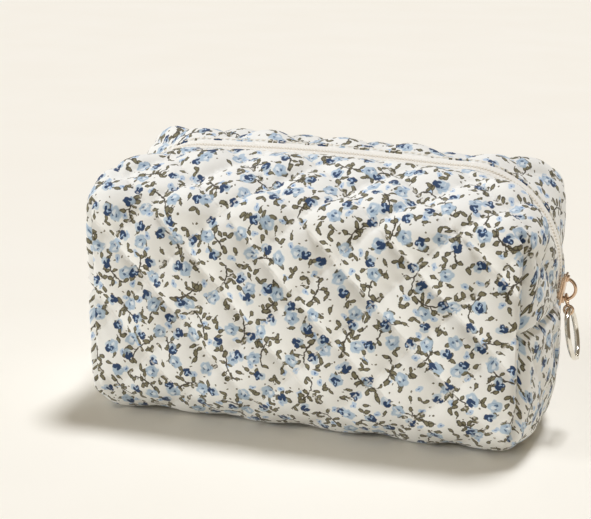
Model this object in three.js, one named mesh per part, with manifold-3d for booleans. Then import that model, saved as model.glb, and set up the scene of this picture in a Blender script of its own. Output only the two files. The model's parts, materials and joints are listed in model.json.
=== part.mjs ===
// A quilted cotton makeup bag of the boxed-pouch kind, in millimetres, +Z up.
// The origin is the middle of the flat base, X runs along the zip and Y runs front (-) to rear (+).
// The cloth is one puffy box shell, cut along its seams into the wrap, the end panels and the two
// top flaps. A zip runs up the left end, over the top and down the right end, where its slider parks.
import * as THREE from "three";
import { mergeVertices } from "three/addons/utils/BufferGeometryUtils.js";
import Module from "manifold-3d";

const wasm = await Module();
wasm.setup();

// ---------- Driving dimensions ----------
const LENGTH = 216; // over the two ends, at the zip
const DEPTH = 104; // over the front and rear walls
const HEIGHT = 121; // base to the cloth beside the zip
const WALL = 4; // quilted cloth: face, wadding and backing
const EDGE_R = 16; // outside radius of the long edges
const SEAM_EDGE_R = 6; // outside radius of the upright corner seams
const END_BULGE = 6; // how far the middle of an end stands out past its corner seams
const BASE_CORNER_R = 12; // where the base turns up into an end
const SHOULDER_CORNER_R = 15; // where the top turns down into an end, near the front and rear walls
const TOP_CROWN = 10; // how far the top falls from the zip to its long edges
const HINGE_DROP = 25; // from the cloth beside the zip down to the edges that the top flaps fold about
const END_SEAM_DROP = 61; // from the cloth beside the zip down to each end's seam, where the zip ends
const BASE_SEAM_Z = 16; // height where the lower end cloth is split from the base cloth
const SEWN_GAP = 0.3; // gap left between pieces that are sewn or pressed together
const LEAST_SEAM_R = 0.5; // the tightest that cloth rounds at a corner seam, on its inner side
const LEAST_TURN_R = 3; // the tightest that the top turns down into an end
const LEAST_BASE_R = 1.5; // the tightest that the base turns up into an end

const LINING = 1; // lining cloth
const LINING_GAP = 0.4; // between the lining and the quilted cloth

const BINDING_DEPTH = 8; // how far a bound seam stands into the bag
const BINDING_THICK = 2.6;

const ZIP_TURN_R = 46; // outside radius of the cloth where the zip turns from the top down an end
const ZIP_SLOT = 16; // between the two cloth edges
const TAPE_THICK = 0.6;
const TAPE_SINK = 1.2; // cloth surface down to the tape's outer face
const TEETH_GAP = 1.2; // between the two coils, where the slider's divider runs
const COIL_WIDTH = 2;
const COIL_HIGH = 1.6;

const SLIDER_LENGTH = 14;
const SLIDER_WIDE_END = 9.4; // width at the divider end
const SLIDER_NARROW_END = 7.4;
const SLIDER_PLATE = 1.1;
const SLIDER_BASE_LENGTH = 12;
const SLIDER_BASE_WIDTH = 8;
const DIVIDER_THICK = 0.6;
const DIVIDER_LENGTH = 3;
const DIVIDER_SETBACK = 1; // from the end of the slider's base to its divider
const TOP_PLATE_CLEAR = 0.6; // over the coils
const BASE_PLATE_CLEAR = 0.7; // under the tape
const PARKED_GAP = 1.5; // between the parked slider and the end seam under it

const BAIL_R = 4.8; // arch on the slider, to the middle of its bar
const BAIL_BAR = 1.3; // bar, radially
const BAIL_BAR_WIDE = 1.8; // bar, across
const LINK_HANG_DEG = -69.7; // direction in which the puller hangs, from straight out of the slider
const UPPER_EYE_R = 2.2;
const LOWER_EYE_R = 2;
const LINK_WIRE = 1.2;
const EYE_SPACING = 5; // between the link's two eyes
const RING_R = 11; // puller ring, to the middle of its wire
const RING_WIRE = 2.2;

// ---------- Places that follow from them ----------
const HALF_LENGTH = LENGTH / 2;
const HALF_DEPTH = DEPTH / 2;
const HALF_SLOT = ZIP_SLOT / 2;
const HINGE_Z = HEIGHT - HINGE_DROP;
const END_SEAM_Z = HEIGHT - END_SEAM_DROP;
const TURN_X = HALF_LENGTH - ZIP_TURN_R; // centre of the zip's turn, on the right
const TURN_Z = HEIGHT - ZIP_TURN_R;
const TAPE_R = ZIP_TURN_R - TAPE_SINK - TAPE_THICK; // tape's inner face, from the turn's centre
const COIL_R = TAPE_R + TAPE_THICK + SEWN_GAP;
const TOP_PLATE_R = COIL_R + COIL_HIGH + TOP_PLATE_CLEAR;
const BASE_PLATE_R = TAPE_R - BASE_PLATE_CLEAR; // base plate's outer face
const BAIL_CENTRE_R = TOP_PLATE_R + SLIDER_PLATE;
const PARKED_Z = END_SEAM_Z + PARKED_GAP + SLIDER_LENGTH / 2;
const PARKED_ANGLE = Math.asin((PARKED_Z - TURN_Z) / COIL_R); // on the turn, from level with its centre
const FAR = 2 * Math.max(LENGTH, DEPTH, HEIGHT); // larger than the bag, for cutting boxes
const RAD = Math.PI / 180;

// ---------- Solids ----------
// A closed three.js geometry as a solid that can be cut and joined.
function solidFrom(geometry) {
  const bare = geometry.index ? geometry.toNonIndexed() : geometry.clone();
  bare.deleteAttribute("normal");
  bare.deleteAttribute("uv");
  const merged = mergeVertices(bare, 1e-4);
  return new wasm.Manifold(
    new wasm.Mesh({
      numProp: 3,
      vertProperties: merged.attributes.position.array,
      triVerts: new Uint32Array(merged.index.array),
    }),
  );
}

function geometryFrom(solid) {
  const mesh = solid.getMesh();
  const geometry = new THREE.BufferGeometry();
  geometry.setAttribute("position", new THREE.BufferAttribute(mesh.vertProperties, 3));
  geometry.setIndex(new THREE.BufferAttribute(mesh.triVerts, 1));
  const flat = geometry.toNonIndexed();
  flat.computeVertexNormals();
  return flat;
}

// A box between two corners, as a solid.
function boxBetween(low, high) {
  const size = high.map((v, k) => v - low[k]);
  const box = new THREE.BoxGeometry(...size);
  box.translate(...low.map((v, k) => v + size[k] / 2));
  return solidFrom(box);
}

// A flat outline in X and Z, given depth along Y from yFrom to yTo.
function slabAlongY(shape, yFrom, yTo, curveSegments = 24) {
  const slab = new THREE.ExtrudeGeometry(shape, { depth: yTo - yFrom, bevelEnabled: false, curveSegments });
  slab.rotateX(Math.PI / 2); // the outline's Y becomes Z, and its depth runs along -Y
  slab.translate(0, yTo, 0);
  return solidFrom(slab);
}

// ---------- The cloth shell ----------
const smooth = (t) => t * t * (3 - 2 * t);
const clamp01 = (t) => Math.min(1, Math.max(0, t));

// How much a rounded edge of radius r has fallen, at distance d past where the rounding starts.
function edgeDrop(d, r) {
  const reach = Math.min(Math.max(d, 0), r);
  return r - Math.sqrt(r * r - reach * reach);
}

// How far out an end stands at depth y: furthest at the zip, least at the corner seams.
function endReach(y) {
  return HALF_LENGTH - END_BULGE * (y / HALF_DEPTH) ** 2;
}

const BASE_STEPS = 4; // straight steps in each rounded corner of an outline
const TURN_STEPS = 10;
const ROLL_DEGREES = [20, 40, 58, 76, 90]; // rings over a long edge, by how far it has turned

// The bag's outline in X and Z at depth y, taken in by inset all round, as a closed ring of points.
function ringAt(y, inset) {
  const out = Math.abs(y);
  const across = clamp01((out - HALF_SLOT) / (HALF_DEPTH - EDGE_R - HALF_SLOT));
  const longDrop = edgeDrop(out - (HALF_DEPTH - EDGE_R), EDGE_R - inset);
  const endDrop = edgeDrop(out - (HALF_DEPTH - SEAM_EDGE_R), Math.max(SEAM_EDGE_R - inset, LEAST_SEAM_R));
  const x = endReach(y) - inset - endDrop;
  const top = HEIGHT - TOP_CROWN * across * across - inset - longDrop;
  const base = inset + longDrop;
  const turn = ZIP_TURN_R + (SHOULDER_CORNER_R - ZIP_TURN_R) * smooth(across);
  const topR = Math.max(turn - inset - longDrop, LEAST_TURN_R);
  const baseR = Math.max(BASE_CORNER_R - inset - longDrop, LEAST_BASE_R);
  const corners = [
    [x, base, baseR, -90, BASE_STEPS],
    [x, top, topR, 0, TURN_STEPS],
    [-x, top, topR, 90, TURN_STEPS],
    [-x, base, baseR, 180, BASE_STEPS],
  ];
  return corners.flatMap(([cx, cz, r, from, steps]) =>
    Array.from({ length: steps + 1 }, (_, i) => {
      const a = (from + (90 * i) / steps) * RAD;
      const mx = cx - Math.sign(cx) * r;
      const mz = cz + (cz === base ? r : -r);
      return [mx + r * Math.cos(a), y, mz + r * Math.sin(a)];
    }),
  );
}

// Depths at which rings are taken: close together where the long edges turn.
function ringDepths(inset) {
  const flat = HALF_DEPTH - EDGE_R;
  const turned = ROLL_DEGREES.map((a) => flat + (EDGE_R - inset) * Math.sin(a * RAD));
  const half = [HALF_SLOT, (HALF_SLOT + flat) / 2, flat, ...turned];
  return [...half.toReversed().map((v) => -v), ...half];
}

// The whole bag as one filled solid, taken in by inset.
function puffyBox(inset) {
  const rings = ringDepths(inset).map((y) => ringAt(y, inset));
  const around = rings[0].length;
  const positions = rings.flat(2);
  const faces = [];
  for (let r = 0; r + 1 < rings.length; r++)
    for (let i = 0; i < around; i++) {
      const [a, b] = [r * around + i, r * around + ((i + 1) % around)];
      faces.push(a, a + around, b, b, a + around, b + around);
    }
  const last = (rings.length - 1) * around;
  for (let i = 1; i + 1 < around; i++) {
    faces.push(0, i, i + 1);
    faces.push(last, last + i + 1, last + i);
  }
  const geometry = new THREE.BufferGeometry();
  geometry.setAttribute("position", new THREE.Float32BufferAttribute(positions, 3));
  geometry.setIndex(faces);
  return solidFrom(geometry);
}

// A cloth layer between two insets, open along the zip from one end seam to the other.
function clothLayer(outer, inner, halfOpening) {
  const slot = boxBetween([-FAR, -halfOpening, END_SEAM_Z], [FAR, halfOpening, FAR]);
  return puffyBox(outer).subtract(puffyBox(inner)).subtract(slot);
}

const HALF_GAP = SEWN_GAP / 2;
const SEWN_OVERLAP = 1; // shared by two cutting boxes that are joined
const FLAP_X = TURN_X - HALF_GAP; // half the length of a top flap
const END_WALL_Y = HALF_DEPTH - WALL; // the end panels lie between the front and rear walls

// ---------- Materials ----------
const cotton = new THREE.MeshStandardMaterial({ color: 0xf1ede4, roughness: 0.9, metalness: 0 });
const liningCloth = new THREE.MeshStandardMaterial({ color: 0xf3efe6, roughness: 0.8, metalness: 0 });
const bindingTape = new THREE.MeshStandardMaterial({ color: 0xefe9dc, roughness: 0.85, metalness: 0 });
const zipTape = new THREE.MeshStandardMaterial({ color: 0xf4f0e6, roughness: 0.8, metalness: 0 });
const nylon = new THREE.MeshStandardMaterial({ color: 0xe6dcc8, roughness: 0.5, metalness: 0 });
const gilt = new THREE.MeshStandardMaterial({ color: 0xc99e6e, roughness: 0.3, metalness: 1 });
const paleGilt = new THREE.MeshStandardMaterial({ color: 0xd9d2bd, roughness: 0.18, metalness: 1 });

const bag = new THREE.Group();

function addPiece(name, shape, material, into = bag) {
  const geometry = shape.isBufferGeometry ? shape : geometryFrom(shape);
  const mesh = new THREE.Mesh(geometry, material);
  mesh.name = name;
  into.add(mesh);
}

// ---------- Quilted cloth ----------
const SIDES = [
  ["front", -1],
  ["rear", 1],
];
const ENDS = [
  ["left", -1],
  ["right", 1],
];

// A box from its extents, with X mirrored for the left end and Y mirrored for the rear side.
function sidedBox(endSign, sideSign, [x0, x1], [y0, y1], [z0, z1]) {
  const xs = [x0 * endSign, x1 * endSign].sort((a, b) => a - b);
  const ys = [y0 * sideSign, y1 * sideSign].sort((a, b) => a - b);
  return boxBetween([xs[0], ys[0], z0], [xs[1], ys[1], z1]);
}

const quilt = clothLayer(0, WALL, HALF_SLOT);

// Base, front wall and rear wall in one length of cloth.
function wrapPanel() {
  const base = boxBetween([-FAR, -FAR, -1], [FAR, FAR, BASE_SEAM_Z - HALF_GAP]);
  const walls = SIDES.map(([, s]) =>
    sidedBox(1, s, [-FAR, FAR], [END_WALL_Y + HALF_GAP, FAR], [-1, HINGE_Z - HALF_GAP]),
  );
  return quilt.intersect(base.add(walls[0]).add(walls[1]));
}

function endLowerPanel(end) {
  const y = [HALF_GAP - END_WALL_Y, END_WALL_Y - HALF_GAP];
  const z = [BASE_SEAM_Z + HALF_GAP, END_SEAM_Z - HALF_GAP];
  return quilt.intersect(sidedBox(end, 1, [FLAP_X, FAR], y, z));
}

// One side of an end above its seam, with the corner that it turns over onto the top.
function endUpperPanel(end, side) {
  const x = [TURN_X + HALF_GAP, FAR];
  const z = [END_SEAM_Z + HALF_GAP, HINGE_Z + SEWN_OVERLAP];
  const wall = sidedBox(end, side, x, [0, END_WALL_Y - HALF_GAP], z);
  const corner = sidedBox(end, side, x, [0, FAR], [HINGE_Z + HALF_GAP, FAR]);
  return quilt.intersect(wall.add(corner));
}

// Half of the top, from a long edge to the zip, between the two turns.
function flapBox(side) {
  return sidedBox(1, side, [-FLAP_X, FLAP_X], [0, FAR], [HINGE_Z + HALF_GAP, FAR]);
}

addPiece("body_wrap_panel", wrapPanel(), cotton);
for (const [endName, end] of ENDS) {
  addPiece(`${endName}_end_lower_panel`, endLowerPanel(end), cotton);
  for (const [sideName, side] of SIDES)
    addPiece(`${endName}_end_upper_${sideName}_panel`, endUpperPanel(end, side), cotton);
}
for (const [sideName, side] of SIDES)
  addPiece(`${sideName}_top_flap`, quilt.intersect(flapBox(side)), cotton);

// ---------- Lining ----------
const LINING_OUT = WALL + LINING_GAP;
const LINING_IN = LINING_OUT + LINING;
const liningLayer = clothLayer(LINING_OUT, LINING_IN, HALF_SLOT);
const mouth = boxBetween([-TURN_X - HALF_GAP, -FAR, HINGE_Z - HALF_GAP], [TURN_X + HALF_GAP, FAR, FAR]);
addPiece("lining_bag", liningLayer.subtract(mouth), liningCloth);
for (const [sideName, side] of SIDES)
  addPiece(`${sideName}_flap_lining`, liningLayer.intersect(flapBox(side)), liningCloth);

// ---------- Bound seams inside ----------
// A bar with rounded edges: BINDING_DEPTH along X, BINDING_THICK along Y and its length along Z.
function bindingBar(length) {
  const r = BINDING_THICK / 2;
  const reach = BINDING_DEPTH / 2 - r;
  const shape = new THREE.Shape();
  shape.moveTo(-reach, -r);
  shape.lineTo(reach, -r);
  shape.absarc(reach, 0, r, -Math.PI / 2, Math.PI / 2);
  shape.lineTo(-reach, r);
  shape.absarc(-reach, 0, r, Math.PI / 2, (3 * Math.PI) / 2);
  return new THREE.ExtrudeGeometry(shape, { depth: length, bevelEnabled: false, curveSegments: 6 });
}

const cornerFoot = LINING_IN + BASE_CORNER_R;
const cornerInset = LINING_IN + BINDING_THICK + (BINDING_DEPTH / 2) * Math.SQRT1_2;
for (const [endName, end] of ENDS)
  for (const [sideName, side] of SIDES) {
    const bar = bindingBar(HINGE_Z - cornerFoot - 2 * BINDING_THICK);
    const y = HALF_DEPTH - cornerInset;
    bar.rotateZ((end * side * Math.PI) / 4);
    bar.translate(end * (endReach(HALF_DEPTH) - cornerInset), side * y, cornerFoot);
    addPiece(`${sideName}_${endName}_corner_binding`, bar, bindingTape);
  }
const endBindingHalf = HALF_DEPTH - cornerInset - BINDING_DEPTH;
for (const [endName, end] of ENDS) {
  const bar = bindingBar(2 * endBindingHalf);
  bar.rotateX(Math.PI / 2);
  const x = endReach(endBindingHalf) - LINING_IN - SEWN_GAP - BINDING_DEPTH / 2;
  bar.translate(end * x, endBindingHalf, END_SEAM_Z - BINDING_THICK);
  addPiece(`${endName}_end_seam_binding`, bar, bindingTape);
}

// ---------- Zip ----------
// The strip of zip between two radii, from below the turn to the top, on the right end.
function turnStrip(rIn, rOut, yFrom, yTo) {
  const low = Math.asin(Math.min((TURN_Z - END_SEAM_Z - SEWN_GAP) / rOut, 0.95));
  const high = Math.PI / 2 - SEWN_GAP / rIn;
  const shape = new THREE.Shape();
  shape.absarc(TURN_X, TURN_Z, rOut, -low, high);
  shape.absarc(TURN_X, TURN_Z, rIn, high, -low, true);
  return slabAlongY(shape, yFrom, yTo);
}

// Tape or coil: both turns and the length between them, on one side of the middle.
function addZipStrip(kind, rIn, rOut, near, far, material) {
  for (const [sideName, side] of SIDES) {
    const [y0, y1] = [near * side, far * side].sort((a, b) => a - b);
    const turn = turnStrip(rIn, rOut, y0, y1);
    addPiece(`${kind}_${sideName}_right_end`, turn, material);
    addPiece(`${kind}_${sideName}_left_end`, turn.mirror([1, 0, 0]), material);
    const run = boxBetween([-FLAP_X, y0, TURN_Z + rIn], [FLAP_X, y1, TURN_Z + rOut]);
    addPiece(`${kind}_${sideName}_top`, run, material);
  }
}

addZipStrip("zip_tape", TAPE_R, TAPE_R + TAPE_THICK, TEETH_GAP / 2, HALF_SLOT - SEWN_GAP, zipTape);
addZipStrip("zip_coil", COIL_R, COIL_R + COIL_HIGH, TEETH_GAP / 2, TEETH_GAP / 2 + COIL_WIDTH, nylon);

// ---------- Slider ----------
// Everything on the slider is made level with the turn's centre, with its outward side along +X
// and the way that it travels along +Z, and turned down to where it parks.
const sliderGroup = new THREE.Group();
sliderGroup.position.set(TURN_X, 0, TURN_Z);
sliderGroup.rotation.y = -PARKED_ANGLE;
bag.add(sliderGroup);

// A plate facing +X: its outline tapers from the divider end, which leads towards the end seam.
function sliderPlate(length, lowWidth, highWidth, xFrom, xTo) {
  const shape = new THREE.Shape();
  const r = lowWidth / 4;
  shape.moveTo(-lowWidth / 2 + r, -length / 2);
  shape.lineTo(lowWidth / 2 - r, -length / 2);
  shape.quadraticCurveTo(lowWidth / 2, -length / 2, lowWidth / 2, -length / 2 + r);
  shape.lineTo(highWidth / 2, length / 2 - r);
  shape.quadraticCurveTo(highWidth / 2, length / 2, highWidth / 2 - r, length / 2);
  shape.lineTo(r - highWidth / 2, length / 2);
  shape.quadraticCurveTo(-highWidth / 2, length / 2, -highWidth / 2, length / 2 - r);
  shape.lineTo(-lowWidth / 2, -length / 2 + r);
  shape.quadraticCurveTo(-lowWidth / 2, -length / 2, -lowWidth / 2 + r, -length / 2);
  const plate = new THREE.ExtrudeGeometry(shape, {
    depth: xTo - xFrom,
    bevelEnabled: false,
    curveSegments: 4,
  });
  plate.rotateX(Math.PI / 2); // outline's Y becomes Z
  plate.rotateZ(Math.PI / 2); // depth, now along -Y, turns to +X
  plate.translate(xFrom, 0, 0);
  return solidFrom(plate);
}

function sliderBody() {
  const over = [TOP_PLATE_R, BAIL_CENTRE_R];
  const top = sliderPlate(SLIDER_LENGTH, SLIDER_WIDE_END, SLIDER_NARROW_END, ...over);
  const under = [BASE_PLATE_R - SLIDER_PLATE, BASE_PLATE_R];
  const base = sliderPlate(SLIDER_BASE_LENGTH, SLIDER_BASE_WIDTH, SLIDER_BASE_WIDTH, ...under);
  const low = DIVIDER_SETBACK - SLIDER_BASE_LENGTH / 2;
  const divider = boxBetween(
    [BASE_PLATE_R - SLIDER_PLATE / 2, -DIVIDER_THICK / 2, low],
    [TOP_PLATE_R + SLIDER_PLATE / 2, DIVIDER_THICK / 2, low + DIVIDER_LENGTH],
  );
  return top.add(base).add(divider);
}

// A half-round arch standing on the top plate, in the plane of travel.
function sliderBail() {
  const shape = new THREE.Shape();
  const [rOut, rIn] = [BAIL_R + BAIL_BAR / 2, BAIL_R - BAIL_BAR / 2];
  const low = Math.asin(SEWN_GAP / rIn) - Math.PI / 2;
  shape.absarc(0, 0, rOut, low, -low);
  shape.absarc(0, 0, rIn, -low, low, true);
  const arch = slabAlongY(shape, -BAIL_BAR_WIDE / 2, BAIL_BAR_WIDE / 2, 14);
  return arch.translate([BAIL_CENTRE_R, 0, 0]);
}

addPiece("slider_body", sliderBody(), gilt, sliderGroup);
addPiece("slider_bail", sliderBail(), gilt, sliderGroup);

// ---------- Puller ----------
// The puller hangs along +X of its own group, which starts at the middle of the bail's arch.
const pullerGroup = new THREE.Group();
pullerGroup.position.set(BAIL_CENTRE_R, 0, 0);
pullerGroup.rotation.y = -LINK_HANG_DEG * RAD;
sliderGroup.add(pullerGroup);

// Two eyes at right angles: the upper one holds the bail and the lower one holds the ring.
function pullerLink() {
  const upper = new THREE.TorusGeometry(UPPER_EYE_R, LINK_WIRE / 2, 8, 20);
  upper.translate(BAIL_R, 0, 0);
  const lower = new THREE.TorusGeometry(LOWER_EYE_R, LINK_WIRE / 2, 8, 20);
  lower.rotateX(Math.PI / 2);
  lower.translate(BAIL_R + EYE_SPACING, 0, 0);
  return solidFrom(upper).add(solidFrom(lower));
}

function pullerRing() {
  const ring = new THREE.TorusGeometry(RING_R, RING_WIRE / 2, 10, 44);
  ring.translate(BAIL_R + EYE_SPACING + RING_R, 0, 0);
  return ring;
}

addPiece("puller_link", pullerLink(), gilt, pullerGroup);
addPiece("puller_ring", pullerRing(), paleGilt, pullerGroup);

export default bag;
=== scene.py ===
# %% [markdown]
# A boxy quilted makeup bag, dressed in Blender. The CAD frame gives every place and size, and this
# lesson makes what the eye sees: puffy printed cotton, a cream zip, a gilt slider and its ring pull.
# The frame is loaded first, because all that follows takes its measures from it.

# %% Load the frame
import json
import math
import bpy
import mathutils.noise
import numpy as np
from mathutils import Matrix, Vector


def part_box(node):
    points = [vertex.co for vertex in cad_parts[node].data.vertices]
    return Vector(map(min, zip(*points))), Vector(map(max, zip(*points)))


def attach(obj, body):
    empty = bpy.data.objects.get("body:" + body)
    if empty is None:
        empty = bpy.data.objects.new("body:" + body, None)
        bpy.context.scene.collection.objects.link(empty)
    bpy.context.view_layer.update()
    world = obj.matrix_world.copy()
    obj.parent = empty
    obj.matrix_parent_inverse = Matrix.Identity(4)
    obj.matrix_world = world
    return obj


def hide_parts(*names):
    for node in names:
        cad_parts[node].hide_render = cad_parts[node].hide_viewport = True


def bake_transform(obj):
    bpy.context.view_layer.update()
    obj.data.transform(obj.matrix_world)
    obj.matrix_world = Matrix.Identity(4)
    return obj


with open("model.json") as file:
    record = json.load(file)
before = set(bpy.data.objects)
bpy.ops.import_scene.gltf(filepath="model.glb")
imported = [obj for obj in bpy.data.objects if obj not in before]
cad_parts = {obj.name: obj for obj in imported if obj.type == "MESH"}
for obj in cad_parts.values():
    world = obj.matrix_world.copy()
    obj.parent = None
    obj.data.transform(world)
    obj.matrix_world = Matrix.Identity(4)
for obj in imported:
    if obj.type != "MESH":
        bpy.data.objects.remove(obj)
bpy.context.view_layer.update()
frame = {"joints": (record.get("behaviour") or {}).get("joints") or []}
MM = 0.001
joints = {joint["name"]: joint for joint in frame["joints"]}

# %% [markdown]
# The bag's own measures come next. The slider turns about the centre of the zip's curve, so its joint
# says where that centre is. The few radii below are how the cloth rounds from one wall to the next.

# %% Measure the bag
turn = Vector(joints["slider_travel"]["pos_m"])
half_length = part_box("right_end_lower_panel")[1].x
half_depth = -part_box("body_wrap_panel")[0].y
top_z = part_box("front_top_flap")[1].z
slot_half = -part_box("front_top_flap")[1].y
end_seam_z = (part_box("right_end_lower_panel")[1].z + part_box("right_end_upper_front_panel")[0].z) / 2
zip_turn_r = half_length - turn.x
LONG_EDGE_R = 16 * MM
CORNER_SEAM_R = 6 * MM
END_BULGE = 6 * MM
BASE_CORNER_R = 12 * MM
SHOULDER_R = 15 * MM
TOP_CROWN = 10 * MM
flat_half = half_depth - LONG_EDGE_R
print("half length, half depth, top", half_length, half_depth, top_z)

# %% [markdown]
# The camera stands a little to the right of the front and a little above, through a long lens, so the
# right end with its slider just comes into view. It is aimed by a given place, point and small roll.

# %% Camera
CAMERA_AZIMUTH = math.radians(16.2)
CAMERA_ELEVATION = math.radians(15.7)
CAMERA_ROLL = math.radians(1.2)
CAMERA_DISTANCE = 0.7475
LENS_MM = 97.5
AIM_LEFT, AIM_UP = 0.0154, 0.0108
middle = Vector((0, 0, 0.06))
back = Vector((
    math.sin(CAMERA_AZIMUTH) * math.cos(CAMERA_ELEVATION),
    -math.cos(CAMERA_AZIMUTH) * math.cos(CAMERA_ELEVATION),
    math.sin(CAMERA_ELEVATION),
))
rightward = (-back).cross(Vector((0, 0, 1))).normalized()
upward = rightward.cross(-back)
roll = Matrix.Rotation(-CAMERA_ROLL, 3, -back)
rightward, upward = roll @ rightward, roll @ upward
camera = bpy.data.objects.new("camera", bpy.data.cameras.new("camera"))
bpy.context.scene.collection.objects.link(camera)
camera.data.lens = LENS_MM
camera.location = middle + back * CAMERA_DISTANCE
aim = middle - rightward * AIM_LEFT + upward * AIM_UP
looking = (aim - camera.location).normalized()
side = looking.cross(upward).normalized()
camera.matrix_world = Matrix.Translation(camera.location) @ Matrix(
    (side, side.cross(looking), -looking)
).transposed().to_4x4()
camera.data.clip_start = 0.01
bpy.context.scene.camera = camera
print("camera at", camera.location)

# %% [markdown]
# Soft studio light. One broad sun high behind the bag lights its top and throws the short shadow forward. A
# second comes in low from the left, so that it grazes the front and models the quilting. A pale world fills
# the rest, as white walls would.

# %% Floor, sky and lamps
def srgb(hex_colour):
    """An sRGB hex colour as the linear values that Blender mixes."""
    parts = [int(hex_colour[i:i + 2], 16) / 255 for i in (1, 3, 5)]
    return tuple(p / 12.92 if p <= 0.04045 else ((p + 0.055) / 1.055) ** 2.4 for p in parts) + (1.0,)


def soft_sun(name, coming_from, spread_degrees, strength, colour):
    """Even light from one side of the room, as soft as its spread is wide."""
    data = bpy.data.lights.new(name, "SUN")
    data.angle = math.radians(spread_degrees)
    data.energy = strength
    data.color = srgb(colour)[:3]
    made = bpy.data.objects.new(name, data)
    made.rotation_euler = (-Vector(coming_from)).to_track_quat("-Z", "Y").to_euler()
    bpy.context.scene.collection.objects.link(made)


soft_sun("skylight", (0.13, 0.19, 1.0), 13, 2.32, "#f8faff")
soft_sun("side_window", (-0.86, -0.47, 0.19), 24, 1.6, "#fbfdff")
world = bpy.data.worlds.new("pale_room")
world.use_nodes = True
world.node_tree.nodes["Background"].inputs["Color"].default_value = srgb("#ffedcf")
world.node_tree.nodes["Background"].inputs["Strength"].default_value = 0.23
bpy.context.scene.world = world
bpy.context.scene.view_settings.view_transform = "Standard"

# %% [markdown]
# One small function adds a shader node, sets it and links it. The others say in one line what every material
# needs: two near tones mixed by a noise, a bump, and a product of several masks.

# %% Add nodes
def add_node(tree, kind, links=None, **settings):
    """Adds a node, sets its attributes, and gives its inputs values or links by name or number."""
    node = tree.nodes.new(kind)
    for key, value in settings.items():
        setattr(node, key, value)
    for socket, value in (links or {}).items():
        if isinstance(value, bpy.types.NodeSocket):
            tree.links.new(value, node.inputs[socket])
        else:
            node.inputs[socket].default_value = value
    return node


def new_material(name, roughness, **shader_values):
    """A material with its shader, ready for a colour and a bump. Returns it, its tree and its shader."""
    material = bpy.data.materials.new(name)
    material.use_nodes = True
    tree = material.node_tree
    shader = tree.nodes["Principled BSDF"]
    shader.inputs["Roughness"].default_value = roughness
    for key, value in shader_values.items():
        shader.inputs[key.replace("_", " ")].default_value = value
    return material, tree, shader


def object_place(tree):
    return add_node(tree, "ShaderNodeTexCoord").outputs["Object"]


def mottled(tree, place, scale, low, high, detail=2.0):
    """Two near tones, mixed by a soft noise. Returns the colour and the noise."""
    noise = add_node(tree, "ShaderNodeTexNoise", {"Vector": place, "Scale": scale, "Detail": detail})
    tones = {0: noise.outputs["Fac"], 6: srgb(low), 7: srgb(high)}
    mixed = add_node(tree, "ShaderNodeMix", tones, data_type="RGBA")
    return mixed.outputs[2], noise.outputs["Fac"]


def bump(tree, height, strength, distance, **more):
    links = {"Height": height, "Strength": strength, "Distance": distance, **more}
    return add_node(tree, "ShaderNodeBump", links).outputs[0]


def math_node(tree, operation, *values):
    return add_node(tree, "ShaderNodeMath", dict(enumerate(values)), operation=operation).outputs[0]


def product(tree, first, *others):
    for other in others:
        first = math_node(tree, "MULTIPLY", first, other)
    return first


# %% [markdown]
# The floor is matt painted board: nearly white, with the faint unevenness of a rolled coat.

# %% Floor
def painted_board():
    material, tree, shader = new_material("painted_board", 0.85, Specular_IOR_Level=0.1)
    colour, _ = mottled(tree, object_place(tree), 9.0, "#f7f3e9", "#faf7ef")
    tree.links.new(colour, shader.inputs["Base Color"])
    return material


bpy.ops.object.select_all(action="DESELECT")
bpy.ops.mesh.primitive_plane_add(size=60)
floor = bpy.context.object
floor.name = "floor"
floor.data.materials.append(painted_board())
print("floor", floor.dimensions)

# %% [markdown]
# The outer cloth. A boxed pouch is one length of quilted cotton: it runs from the zip over the front,
# under the base and up the rear to the zip again, and each end is closed by one level seam and two upright
# corner seams. A modeller could inflate a cube, but then the print could not follow the cloth. So each
# half is drawn as three patches of cloth, each laid out in its own flat millimetres: the top strip with
# its upper ends, the wall, and the base strip with its lower ends.

# %% Outline of the bag at one depth
LEAST_CORNER_R = 3 * MM
CORNER_STEPS = 24


def smooth_step(values):
    """0 below 0, 1 above 1 and a smooth rise between, for a number or an array."""
    t = np.clip(values, 0, 1)
    return t * t * (3 - 2 * t)


def edge_drop(past, radius):
    """How far a rounded edge has fallen, this far past where its rounding starts."""
    reach = min(max(past, 0), radius)
    return radius - math.sqrt(radius * radius - reach * reach)


def outline(depth, inset, upper):
    """Half an outline in X and Z, from the middle to the end seam, and where it turns its corner."""
    across = np.clip((depth - slot_half) / (flat_half - slot_half), 0, 1)
    long_drop = edge_drop(depth - flat_half, LONG_EDGE_R)
    end_drop = edge_drop(depth - (half_depth - CORNER_SEAM_R), CORNER_SEAM_R)
    x = half_length - END_BULGE * (depth / half_depth) ** 2 - end_drop - inset
    if upper:
        level = top_z - TOP_CROWN * across ** 2 - long_drop - inset
        radius = zip_turn_r + (SHOULDER_R - zip_turn_r) * smooth_step(across)
        sign = -1
    else:
        level = long_drop + inset
        radius = BASE_CORNER_R
        sign = 1
    radius = max(radius - long_drop - inset, LEAST_CORNER_R)
    angles = [math.radians(90 * i / CORNER_STEPS) for i in range(CORNER_STEPS + 1)]
    turned = [(x - radius + radius * math.sin(a), level + sign * radius * (1 - math.cos(a))) for a in angles]
    points = np.array([(0, level)] + turned + [(x, end_seam_z)])
    return points, 1 + CORNER_STEPS // 2


def run_along(points):
    """Each point's distance along its row."""
    return np.concatenate([[0], np.cumsum(np.linalg.norm(np.diff(points, axis=0), axis=1))])


def spaced(points, start, stop, count):
    """Evenly spaced points along one stretch of an outline."""
    stretch = points[start:stop + 1]
    run = run_along(stretch)
    wanted = np.linspace(0, run[-1], count + 1)
    return np.stack([np.interp(wanted, run, stretch[:, k]) for k in (0, 1)], axis=1)


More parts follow.
